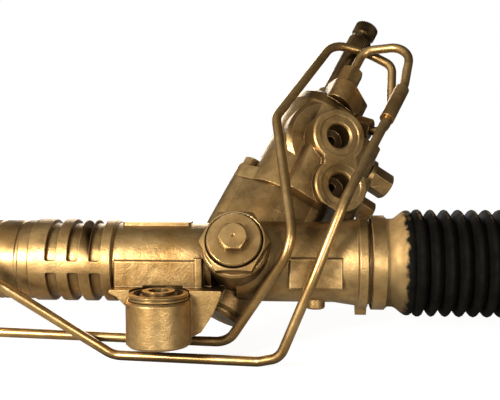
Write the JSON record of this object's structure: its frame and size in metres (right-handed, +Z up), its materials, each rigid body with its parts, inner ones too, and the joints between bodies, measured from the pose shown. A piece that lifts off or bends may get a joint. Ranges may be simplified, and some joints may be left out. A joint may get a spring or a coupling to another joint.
{
  "type": "power steering rack",
  "caption": "Hydraulic rack-and-pinion steering gear with rotary valve, transfer lines, bellows boots and inner tie rods; turning the input shaft slides the rack.",
  "frame": {"origin": "on the axis of the pinion-end mounting bolt, at the seat face under its bush sleeve", "axes": "+X along the rack towards the pinion-end tie rod, +Y from the mounting bolts back to the rack, +Z up the mounting bolts"},
  "size_m": [1.1268, 0.1709, 0.2366],
  "materials": {
    "painted_casting": "satin gold-bronze paint",
    "painted_steel": "satin gold-bronze paint",
    "machined_steel": "machined",
    "yoke_alloy": "machined",
    "boot_rubber": "matt",
    "bearing_plastic": "matt",
    "bronze_bush": "machined"
  },
  "bodies": {
    "housing": {"rack_housing": "painted_casting", "cylinder_tube": "painted_steel", "left_end_housing": "painted_casting", "inner_bulkhead": "machined_steel", "outer_bulkhead": "machined_steel", "bulkhead_o_rings": "boot_rubber", "rack_seals": "boot_rubber", "left_rack_bush": "bearing_plastic", "bush_shells": "painted_steel", "bush_rubbers": "boot_rubber", "bush_sleeves": "painted_steel", "yoke": "yoke_alloy", "yoke_liner": "bearing_plastic", "yoke_o_ring": "boot_rubber", "yoke_spring": "machined_steel", "yoke_plug": "painted_steel", "yoke_locknut": "painted_steel", "bearing_outer_ring": "machined_steel", "pinion_cap": "painted_steel", "upper_pinion_bush": "bronze_bush", "pinion_seal": "boot_rubber", "housing_o_ring": "boot_rubber", "valve_housing": "painted_casting", "valve_housing_screws": "painted_steel", "port_plugs": "painted_steel", "input_bearing": "machined_steel", "input_seal": "boot_rubber", "input_dust_cap": "boot_rubber", "upper_line": "painted_steel", "lower_line": "painted_steel", "tube_nuts": "painted_steel", "line_sleeve": "painted_steel", "right_boot": "boot_rubber", "left_boot": "boot_rubber", "right_boot_clamp": "painted_steel", "left_boot_clamp": "painted_steel"},
    "rack": {"rack_bar": "machined_steel", "piston": "machined_steel", "piston_ring": "bearing_plastic", "right_socket": "machined_steel", "left_socket": "machined_steel", "lock_washers": "machined_steel"},
    "pinion": {"pinion_gear": "machined_steel", "pinion_nut": "machined_steel", "bearing_inner_ring": "machined_steel", "bearing_balls": "machined_steel", "valve_sleeve": "machined_steel", "valve_sleeve_rings": "bearing_plastic"},
    "input_shaft": {"input_shaft": "machined_steel", "torsion_bar": "machined_steel", "torsion_pin": "machined_steel"},
    "right_seat": {"right_ball_seat": "bearing_plastic"},
    "right_tie_rod": {"right_tie_rod": "machined_steel", "right_jam_nut": "machined_steel", "right_boot_small_clamp": "machined_steel"},
    "left_seat": {"left_ball_seat": "bearing_plastic"},
    "left_tie_rod": {"left_tie_rod": "machined_steel", "left_jam_nut": "machined_steel", "left_boot_small_clamp": "machined_steel"}
  },
  "joints": [
    {"name": "rack_slide", "type": "slide", "parent": "housing", "child": "rack", "axis": [1, 0, 0], "range_m": [-0.07, 0.07], "deforming": ["right_boot", "left_boot"]},
    {"name": "pinion_spin", "type": "hinge", "parent": "housing", "child": "pinion", "pos_m": [0.046, 0.05503, 0.04067], "axis": [0.4226, 0.3973, 0.8146], "range_deg": [-502, 502]},
    {"name": "valve_twist", "type": "hinge", "parent": "pinion", "child": "input_shaft", "pos_m": [0.046, 0.05503, 0.04067], "axis": [0.4226, 0.3973, 0.8146], "range_deg": [-5, 5], "stiffness_Nm_per_rad": 100},
    {"name": "right_seat_swing", "type": "hinge", "parent": "rack", "child": "right_seat", "pos_m": [0.2438, 0.04, 0.048], "axis": [0, 0, 1], "range_deg": [-10, 10], "deforming": ["right_boot"]},
    {"name": "right_rod_swing", "type": "hinge", "parent": "right_seat", "child": "right_tie_rod", "pos_m": [0.2438, 0.04, 0.048], "axis": [0, 1, 0], "range_deg": [-20, 20], "deforming": ["right_boot"]},
    {"name": "left_seat_swing", "type": "hinge", "parent": "rack", "child": "left_seat", "pos_m": [-0.483, 0.04, 0.048], "axis": [0, 0, 1], "range_deg": [-10, 10], "deforming": ["left_boot"]},
    {"name": "left_rod_swing", "type": "hinge", "parent": "left_seat", "child": "left_tie_rod", "pos_m": [-0.483, 0.04, 0.048], "axis": [0, 1, 0], "range_deg": [-20, 20], "deforming": ["left_boot"]}
  ],
  "couplings": [
    {"joint": "pinion_spin", "follows": "rack_slide", "rad_per_m": 125}
  ]
}
